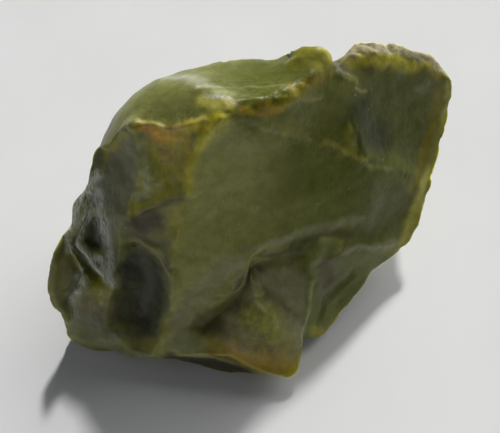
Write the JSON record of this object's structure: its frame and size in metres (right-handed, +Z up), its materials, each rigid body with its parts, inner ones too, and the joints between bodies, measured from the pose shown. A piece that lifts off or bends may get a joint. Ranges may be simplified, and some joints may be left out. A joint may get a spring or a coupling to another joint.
{
  "type": "raw green opal",
  "caption": "Rough lump of olive-green opal with curved fracture faces and a strip of crust, resting on a flat face.",
  "frame": {"origin": "middle of the footprint box, on the plane that the lump rests on", "axes": "+X along the length towards the thin crusted lobe, +Y from the broad front face to the back, +Z up"},
  "size_m": [0.07, 0.0512, 0.0435],
  "materials": {
    "opal": "waxy, faintly translucent stone, darker in its hollows, yellow at its thin edges, with a dull crust along the top"
  },
  "bodies": {
    "root": {"green_opal": "opal"}
  },
  "joints": []
}
